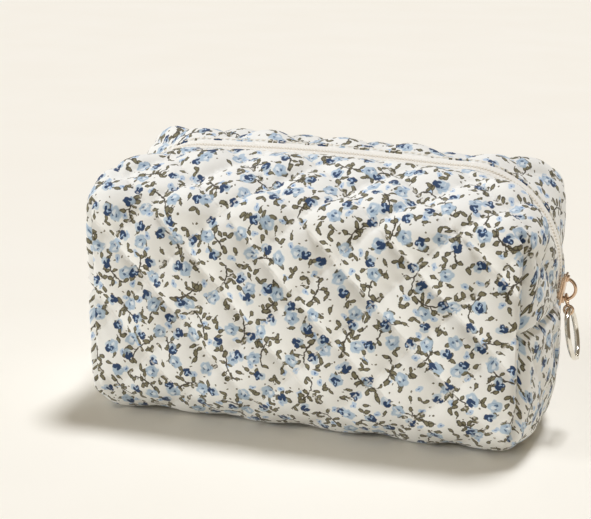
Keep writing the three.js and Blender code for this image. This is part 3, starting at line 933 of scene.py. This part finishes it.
def make_tape(side_name, side, material):
    runs = np.linspace(-PATH_HALF, PATH_HALF, round(2 * PATH_HALF / TAPE_PITCH) + 1)
    across = np.linspace(TEETH_GAP / 2, slot_half + TAPE_TUCK, 6)
    points, flats = [], []
    for run in runs:
        place, _, _ = on_path(run, TAPE_R + TAPE_THICK)
        points += [(place.x, side * y, place.z) for y in across]
        flats += [(run, y - across[0]) for y in across]
    indices = np.arange(len(points)).reshape(len(runs), len(across))
    faces = grid_faces(indices)
    if side > 0:
        faces = faces[:, ::-1]
    tape = mesh_from(f"{side_name}_zip_tape", settle(np.array(points)), faces, np.array(flats))
    thicken(tape, TAPE_THICK)
    tape.data.materials.append(material)
    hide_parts(*[f"zip_tape_{side_name}_{where}" for where in ("left_end", "top", "right_end")])
    flap_blend(tape)
    return tape


tape_material = zip_tape_cotton()
tapes = [make_tape(side_name, side, tape_material) for side_name, side in SIDES]
print("tape points", [len(tape.data.vertices) for tape in tapes])

# %% [markdown]
# A nylon coil zip is a spiral of thread on each tape, whose loops mesh in the middle. One loop is modelled as
# a low rounded bead, shaped from a coarse sphere in edit mode, and copied along the path in one mesh. The two
# sides are half a pitch apart, so that they close. Near the parked slider they stand apart round its post.

# %% Zip coils
COIL_PITCH = 1.5 * MM
TOOTH_LONG = 1.25 * MM
TOOTH_SLIM = 0.56 * MM
TOOTH_HIGH = 0.72 * MM
TOOTH_MIDDLE = 1.2 * MM
PARTED_SHIFT = 0.55 * MM


def nylon():
    material, tree, shader = new_material("moulded_nylon", 0.42, IOR=1.53)
    place = object_place(tree)
    colour, _ = mottled(tree, place, 260.0, "#eee7d9", "#f7f2e8")
    tree.links.new(colour, shader.inputs["Base Color"])
    grain = add_node(tree, "ShaderNodeTexNoise", {"Vector": place, "Scale": 1500.0})
    tree.links.new(bump(tree, grain.outputs["Fac"], 0.2, 0.1 * MM), shader.inputs["Normal"])
    return material


def tooth_shape():
    """One bead as points (along, across, out) and faces."""
    bpy.ops.object.select_all(action="DESELECT")
    bpy.ops.mesh.primitive_uv_sphere_add(segments=8, ring_count=5, radius=1)
    bead = bpy.context.object
    bpy.ops.object.mode_set(mode="EDIT")
    bpy.ops.mesh.select_all(action="SELECT")
    bpy.ops.transform.resize(value=(TOOTH_SLIM, TOOTH_LONG, TOOTH_HIGH))
    bpy.ops.object.mode_set(mode="OBJECT")
    points = np.array([vertex.co for vertex in bead.data.vertices])
    faces = [tuple(polygon.vertices) for polygon in bead.data.polygons]
    bpy.data.objects.remove(bead)
    return points, faces


def copies_on_path(name, shape, faces, places):
    """One mesh of many copies: each place is (origin, along, out, across)."""
    all_points, all_faces = [], []
    for origin, along, out, across in places:
        turned = shape @ np.array([along, across, out])
        all_faces += [tuple(i + len(all_points) * len(shape) for i in face) for face in faces]
        all_points.append(turned + np.array(origin))
    mesh = bpy.data.meshes.new(name)
    mesh.from_pydata(np.concatenate(all_points).tolist(), [], all_faces)
    made = bpy.data.objects.new(name, mesh)
    bpy.context.scene.collection.objects.link(made)
    return made


def make_outward(piece):
    take(piece)
    bpy.ops.object.mode_set(mode="EDIT")
    bpy.ops.mesh.select_all(action="SELECT")
    bpy.ops.mesh.normals_make_consistent(inside=False)
    bpy.ops.object.mode_set(mode="OBJECT")


def settled_origin(place, y):
    return settle(np.array([[place.x, y, place.z]]))[0]


def make_coil(side_name, side, material):
    shape, faces = tooth_shape()
    count = int(2 * PATH_HALF / COIL_PITCH) - 1
    places = []
    for k in range(count):
        run = (k - (count - 1) / 2 + 0.25 * side) * COIL_PITCH
        place, along, out = on_path(run, COIL_R + 0.55 * TOOTH_HIGH)
        parted = smooth_step((turn.z - place.z) / (6 * MM)) if place.x > 0 else 0
        y = side * (TOOTH_MIDDLE + PARTED_SHIFT * parted)
        places.append((settled_origin(place, y), along, out, Vector((0, side, 0))))
    coil = copies_on_path(f"{side_name}_zip_coil", shape, faces, places)
    make_outward(coil)
    smooth_shade(coil)
    coil.data.materials.append(material)
    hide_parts(*[f"zip_coil_{side_name}_{where}" for where in ("left_end", "top", "right_end")])
    flap_blend(coil)
    return coil


nylon_material = nylon()
coils = [make_coil(side_name, side, nylon_material) for side_name, side in SIDES]
print("coil faces", [len(coil.data.polygons) for coil in coils])

# %% [markdown]
# A row of topstitching holds each folded edge of cloth down on the tape. The stitches lie on the quilted
# surface, so they are placed on the cover's own second row of points, and each one is a short bent bead.

# %% Topstitching beside the zip
STITCH_PITCH = 3.0 * MM
STITCH_LONG = 1.15 * MM
STITCH_SLIM = 0.26 * MM


def sewing_thread():
    material, tree, shader = new_material("spun_polyester_thread", 0.65, Sheen_Weight=0.2)
    colour, _ = mottled(tree, object_place(tree), 900.0, "#efe8da", "#fffcf4")
    tree.links.new(colour, shader.inputs["Base Color"])
    return material


def edge_row(rear):
    """The cover's second row of points after quilting, which lies beside the folded edge."""
    points, flats, normals, faces, indices = join_patches(cloth, cloth_end_count)
    distances = patch_distances(cloth, cloth_end_count)
    if rear:
        points, flats, normals, faces = mirror_rear(points, flats, normals, faces)
    row = indices["top"][1]
    shaped = shape_cover(points[row], flats[row], normals[row], *[d[row] for d in distances])
    return shaped, normals[row]


def make_topstitch(side_name, side, material):
    row, outward = edge_row(side > 0)
    run = run_along(row)
    wanted = np.arange(STITCH_PITCH, run[-1] - STITCH_PITCH, STITCH_PITCH)
    at = np.stack([np.interp(wanted, run, row[:, k]) for k in range(3)], axis=1)
    out = np.stack([np.interp(wanted, run, outward[:, k]) for k in range(3)], axis=1)
    along = np.gradient(at, axis=0)
    shape, faces = tooth_shape()
    shape = shape / (TOOTH_SLIM, TOOTH_LONG, TOOTH_HIGH) * (STITCH_LONG, STITCH_SLIM, STITCH_SLIM)
    places = []
    for origin, a, o in zip(at, along, out):
        a, o = Vector(a).normalized(), Vector(o).normalized()
        places.append((origin, a, o, o.cross(a)))
    stitches = copies_on_path(f"{side_name}_topstitching", shape, faces, places)
    make_outward(stitches)
    smooth_shade(stitches)
    stitches.data.materials.append(material)
    flap_blend(stitches)
    return stitches


thread_material = sewing_thread()
stitch_rows = [make_topstitch(side_name, side, thread_material) for side_name, side in SIDES]
print("stitches", [len(row.data.polygons) for row in stitch_rows])

# %% [markdown]
# Inside hangs a plain lining, cut like the outer cloth but a little smaller. It is made by the same patches
# with an inset, and loosely wrinkled.

# %% Lining
LINING_INSET = 6.6 * MM
LINING_THICK = 0.5 * MM
LINING_PITCH = 3.3 * MM
LINING_GAP = 2.5 * MM
LINING_BULGE = 1 * MM


def plain_lining():
    material, tree, shader = new_material("woven_polyester_lining", 0.6, Sheen_Weight=0.1)
    place = cloth_millimetres(tree)
    colour, _ = mottled(tree, place, 0.06, "#ece6d9", "#f6f1e6", 3.0)
    tree.links.new(colour, shader.inputs["Base Color"])
    tree.links.new(weave_bump(tree, place, 0.8, 0.3), shader.inputs["Normal"])
    return material


lining_cloth, lining_end_count = half_cloth(LINING_INSET, slot_half + LINING_GAP, LINING_PITCH, LINING_BULGE)


def make_lining(side_name, side, material):
    points, flats, normals, faces, _ = join_patches(lining_cloth, lining_end_count)
    seam_mm = np.minimum(*patch_distances(lining_cloth, lining_end_count)[:2])
    if side > 0:
        points, flats, normals, faces = mirror_rear(points, flats, normals, faces)
    free = 1 - np.exp(-(seam_mm / 10) ** 2)
    sag = np.minimum(0.9 * value_noise(points, 0.03, 21) - 0.5, 0) * free * MM
    points = settle(points + normals * sag[:, None])
    points[:, 2] = np.maximum(points[:, 2], LINING_INSET)
    points, (flats,), faces = weld_unused(points, [flats], faces)
    lining = mesh_from(f"{side_name}_lining", points, faces, flats)
    thicken(lining, LINING_THICK)
    lining.data.materials.append(material)
    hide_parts("lining_bag", f"{side_name}_flap_lining")
    flap_blend(lining)


lining_material = plain_lining()
for side_name, side in SIDES:
    make_lining(side_name, side, lining_material)

# %% [markdown]
# The raw seam edges inside are bound with folded tape. Each binding starts as a cube of the bound seam's
# size, is cut into short lengths so that it can follow the bag, and has its long edges rounded.

# %% Bindings
BINDING_ROUND = 1.1 * MM
BINDING_SHIFT = 2.5 * MM
BINDING_WIDE, BINDING_THICK = 8 * MM, 2.6 * MM
BINDING_CUTS = 12


def binding_cotton():
    material, tree, shader = new_material("folded_bias_tape", 0.8, Sheen_Weight=0.15)
    place = scaled(tree, object_place(tree), 1 / MM)
    colour, _ = mottled(tree, place, 0.3, "#e6dfcf", "#f2ecdf")
    tree.links.new(colour, shader.inputs["Base Color"])
    tree.links.new(weave_bump(tree, place, 0.8, 0.4), shader.inputs["Normal"])
    return material


def make_binding(node, long_axis, turning, material):
    """An upright bar as long as its CAD node, turned, set a little inward and settled with the bag."""
    low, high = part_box(node)
    middle_at = (low + high) / 2
    long = (high - low)[long_axis]
    bpy.ops.object.select_all(action="DESELECT")
    bpy.ops.mesh.primitive_cube_add(size=1, location=middle_at)
    bar = bpy.context.object
    bar.name = node.replace("_binding", "_bound_edge")
    bpy.ops.object.mode_set(mode="EDIT")
    bpy.ops.transform.resize(value=(BINDING_WIDE, BINDING_THICK, long))
    for k in range(1, BINDING_CUTS):
        bpy.ops.mesh.select_all(action="SELECT")
        level = middle_at + Vector((0, 0, long * (k / BINDING_CUTS - 0.5)))
        bpy.ops.mesh.bisect(plane_co=level, plane_no=(0, 0, 1))
    bpy.ops.object.mode_set(mode="OBJECT")
    rounded = bar.modifiers.new("rounded", "BEVEL")
    rounded.width = BINDING_ROUND
    rounded.segments = 3
    apply_modifiers(bar)
    inward = -np.sign(np.round(middle_at, 4)) * (1, 1, 0)
    points = np.array([turning @ vertex.co for vertex in bar.data.vertices])
    points += np.array(middle_at) + BINDING_SHIFT * inward
    bar.location = (0, 0, 0)
    bar.data.vertices.foreach_set("co", settle(points).ravel())
    bar.data.update()
    smooth_shade(bar)
    bar.data.materials.append(material)
    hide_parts(node)
    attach(bar, "bag")
    return bar


binding_material = binding_cotton()
bindings = []
for end_name, end in (("left", -1), ("right", 1)):
    for side_name, side in SIDES:
        diagonal = Matrix.Rotation(math.radians(45 * end * side), 3, "Z")
        node = f"{side_name}_{end_name}_corner_binding"
        bindings.append(make_binding(node, 2, diagonal, binding_material))
    laid_level = Matrix.Rotation(math.radians(90), 3, "X")
    bindings.append(make_binding(f"{end_name}_end_seam_binding", 1, laid_level, binding_material))
print("bindings", [piece.name for piece in bindings])

# %% [markdown]
# The slider is die-cast zinc, gilt by plating. It is modelled level, facing +X and travelling along +Z, and
# then turned about the zip's curve to where it is parked. Its plates start as cubes that are tapered and
# bevelled in edit mode. The bail is a torus cut in half.

# %% Slider
TOP_PLATE_R = COIL_R + 2.5 * MM
BASE_PLATE_R = TAPE_R - 0.7 * MM
PLATE = 1.1 * MM
SLIDER_LONG = 14 * MM
WIDE_END, NARROW_END = 9.4 * MM, 7.4 * MM
BASE_LONG, BASE_WIDE = 12 * MM, 8 * MM
BAIL_CENTRE_R = TOP_PLATE_R + PLATE
BAIL_R = 4.8 * MM
BAIL_WIRE = 1.44 * MM
PLATE_ROUND, SMALL_ROUND = 0.5 * MM, 0.22 * MM
pivot = Vector(joints["puller_link_swing"]["pos_m"])
PARKED_ANGLE = math.atan2(pivot.z - turn.z, pivot.x - turn.x)
eye = Vector(joints["puller_ring_swing"]["pos_m"])
HANG_ANGLE = math.atan2(eye.z - pivot.z, eye.x - pivot.x)


def plated_metal(name, hex_colour, worn_hex, roughness):
    """Bright plating: faint polishing marks and a slightly duller, paler tone where fingers rub it."""
    material, tree, shader = new_material(name, roughness, Metallic=1.0)
    place = object_place(tree)
    colour, cloud = mottled(tree, place, 420.0, hex_colour, worn_hex, 3.0)
    tree.links.new(colour, shader.inputs["Base Color"])
    spread = {0: cloud, 1: 0.3, 2: 0.7, 3: roughness * 0.8, 4: roughness * 1.3}
    tree.links.new(add_node(tree, "ShaderNodeMapRange", spread).outputs[0], shader.inputs["Roughness"])
    marks = add_node(tree, "ShaderNodeTexNoise", {"Vector": place, "Scale": 2200.0})
    tree.links.new(bump(tree, marks.outputs["Fac"], 0.08, 0.05 * MM), shader.inputs["Normal"])
    return material


def select_where(piece, test):
    """In edit mode, selects the vertices whose place passes a test."""
    bpy.ops.mesh.select_all(action="DESELECT")
    bpy.ops.object.mode_set(mode="OBJECT")
    for vertex in piece.data.vertices:
        vertex.select = test(vertex.co)
    bpy.ops.object.mode_set(mode="EDIT")


def add_block(middle_at, size):
    bpy.ops.object.select_all(action="DESELECT")
    bpy.ops.mesh.primitive_cube_add(size=1, location=(0, 0, 0))
    block = bpy.context.object
    bpy.ops.object.mode_set(mode="EDIT")
    bpy.ops.transform.resize(value=size)
    bpy.ops.transform.translate(value=middle_at)
    bpy.ops.object.mode_set(mode="OBJECT")
    return block


def bevel(piece, width, segments=3):
    rounded = piece.modifiers.new("rounded", "BEVEL")
    rounded.width = width
    rounded.segments = segments
    rounded.limit_method = "ANGLE"
    rounded.angle_limit = math.radians(30)
    apply_modifiers(piece)


def add_ring(major, minor, along, upright, major_segments=40, minor_segments=12):
    tilt = math.pi / 2 if upright else 0
    bpy.ops.object.select_all(action="DESELECT")
    bpy.ops.mesh.primitive_torus_add(major_radius=major, minor_radius=minor, major_segments=major_segments,
                                     minor_segments=minor_segments, rotation=(tilt, 0, 0))
    ring = bpy.context.object
    bpy.ops.object.transform_apply(rotation=True)
    ring.data.transform(Matrix.Translation((along, 0, 0)))
    return ring


def join_into(name, pieces):
    bpy.ops.object.select_all(action="DESELECT")
    for piece in pieces:
        piece.select_set(True)
    bpy.context.view_layer.objects.active = pieces[0]
    bpy.ops.object.join()
    pieces[0].name = name
    return pieces[0]


def taper(plate, wide, narrow):
    """Draws one end of a plate in, along Y."""
    take(plate)
    bpy.ops.object.mode_set(mode="EDIT")
    select_where(plate, lambda co: co.z > 0)
    bpy.ops.transform.resize(value=(1, narrow / wide, 1), center_override=(0, 0, 0))
    bpy.ops.object.mode_set(mode="OBJECT")


def place_turned(piece, turning, origin):
    piece.data.transform(Matrix.Translation(origin) @ turning.to_4x4())
    piece.location = (0, 0, 0)


def make_slider_body(material):
    top = add_block((TOP_PLATE_R + PLATE / 2, 0, 0), (PLATE, WIDE_END, SLIDER_LONG))
    taper(top, WIDE_END, NARROW_END)
    base = add_block((BASE_PLATE_R - PLATE / 2, 0, 0), (PLATE, BASE_WIDE, BASE_LONG))
    post = add_block(((TOP_PLATE_R + BASE_PLATE_R) / 2, 0, 2.5 * MM - BASE_LONG / 2),
                     (TOP_PLATE_R - BASE_PLATE_R + PLATE, 0.6 * MM, 3 * MM))
    lips = [add_block((TOP_PLATE_R - 0.35 * MM, side * (NARROW_END / 2 - 0.3 * MM), 0.6 * MM),
                      (1.1 * MM, 0.7 * MM, 10.4 * MM)) for _, side in SIDES]
    stops = [add_block((BAIL_CENTRE_R + 0.3 * MM, 0, end * (BAIL_R + 0.2 * MM)),
                       (1.3 * MM, 3.0 * MM, 2.6 * MM)) for end in (-1, 1)]
    for plate in (top, base):
        bevel(plate, PLATE_ROUND, 4)
    for small in (post, *lips, *stops):
        bevel(small, SMALL_ROUND, 2)
    body = join_into("gilt_slider", [top, base, post, *lips, *stops])
    place_turned(body, Matrix.Rotation(-PARKED_ANGLE, 3, "Y"), turn)
    smooth_shade(body, 35)
    body.data.materials.append(material)
    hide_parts("slider_body")
    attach(body, "zip_slider")


def make_bail(material):
    bail = add_ring(BAIL_R, BAIL_WIRE / 2, 0, True, 48, 14)
    bpy.ops.object.mode_set(mode="EDIT")
    bpy.ops.mesh.select_all(action="SELECT")
    bpy.ops.transform.resize(value=(1, 1.25, 1))
    bpy.ops.mesh.bisect(plane_co=(-0.2 * MM, 0, 0), plane_no=(1, 0, 0), use_fill=True, clear_inner=True)
    bpy.ops.object.mode_set(mode="OBJECT")
    bail.name = "gilt_bail"
    bail.data.transform(Matrix.Translation((BAIL_CENTRE_R, 0, 0)))
    place_turned(bail, Matrix.Rotation(-PARKED_ANGLE, 3, "Y"), turn)
    smooth_shade(bail, 40)
    bail.data.materials.append(material)
    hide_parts("slider_bail")
    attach(bail, "zip_slider")


gilt = plated_metal("gilt_zinc_plating", "#cdab8d", "#e2cab2", 0.22)
make_slider_body(gilt)
make_bail(gilt)
print("slider parked at", round(math.degrees(PARKED_ANGLE), 1), "degrees")

# %% [markdown]
# The puller is a small double eye and a plain ring. Both are tori: the eyes stand at right angles, joined by
# a bead of solder, and the ring's section is flattened a little and closed by a soldered joint.

# %% Link and ring
UPPER_EYE_R, LOWER_EYE_R, LINK_WIRE = 2.2 * MM, 2.0 * MM, 1.2 * MM
EYE_SPACING = 5 * MM
RING_R, RING_WIRE = 11 * MM, 2.2 * MM
SOLDER_R = 0.85 * MM
COLLAR_SIZE = (2.5 * MM, 1.3 * MM, 2.55 * MM)
COLLAR_ROUND = 0.7 * MM


def hang(piece):
    place_turned(piece, Matrix.Rotation(-HANG_ANGLE, 3, "Y"), pivot)
    smooth_shade(piece, 60)


def make_link(material):
    upper = add_ring(UPPER_EYE_R, LINK_WIRE / 2, BAIL_R, False)
    lower = add_ring(LOWER_EYE_R, LINK_WIRE / 2, BAIL_R + EYE_SPACING, True)
    bpy.ops.object.select_all(action="DESELECT")
    bpy.ops.mesh.primitive_uv_sphere_add(segments=20, ring_count=12, radius=SOLDER_R)
    bead = bpy.context.object
    bpy.ops.object.mode_set(mode="EDIT")
    bpy.ops.transform.resize(value=(1.25, 1, 1))
    bpy.ops.transform.translate(value=(BAIL_R + 2.6 * MM, 0, 0))
    bpy.ops.object.mode_set(mode="OBJECT")
    link = join_into("gilt_link", [upper, lower, bead])
    hang(link)
    link.data.materials.append(material)
    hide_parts("puller_link")
    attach(link, "puller_link")


def make_ring(material):
    ring = add_ring(RING_R, RING_WIRE / 2, 0, False, 96, 18)
    bpy.ops.object.mode_set(mode="EDIT")
    bpy.ops.mesh.select_all(action="SELECT")
    bpy.ops.transform.resize(value=(1, 1, 1.08))
    bpy.ops.object.mode_set(mode="OBJECT")
    collar = add_block((RING_R, 0, 0), COLLAR_SIZE)
    bevel(collar, COLLAR_ROUND, 4)
    joined = join_into("ring_pull", [ring, collar])
    joined.data.transform(Matrix.Translation((BAIL_R + EYE_SPACING + RING_R, 0, 0)))
    hang(joined)
    joined.data.materials.append(material)
    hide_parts("puller_ring")
    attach(joined, "puller_ring")


pale_gold = plated_metal("pale_gold_plating", "#e2ddd2", "#f1ede4", 0.13)
make_link(gilt)
make_ring(pale_gold)
print("puller hangs at", round(math.degrees(HANG_ANGLE), 1), "degrees")
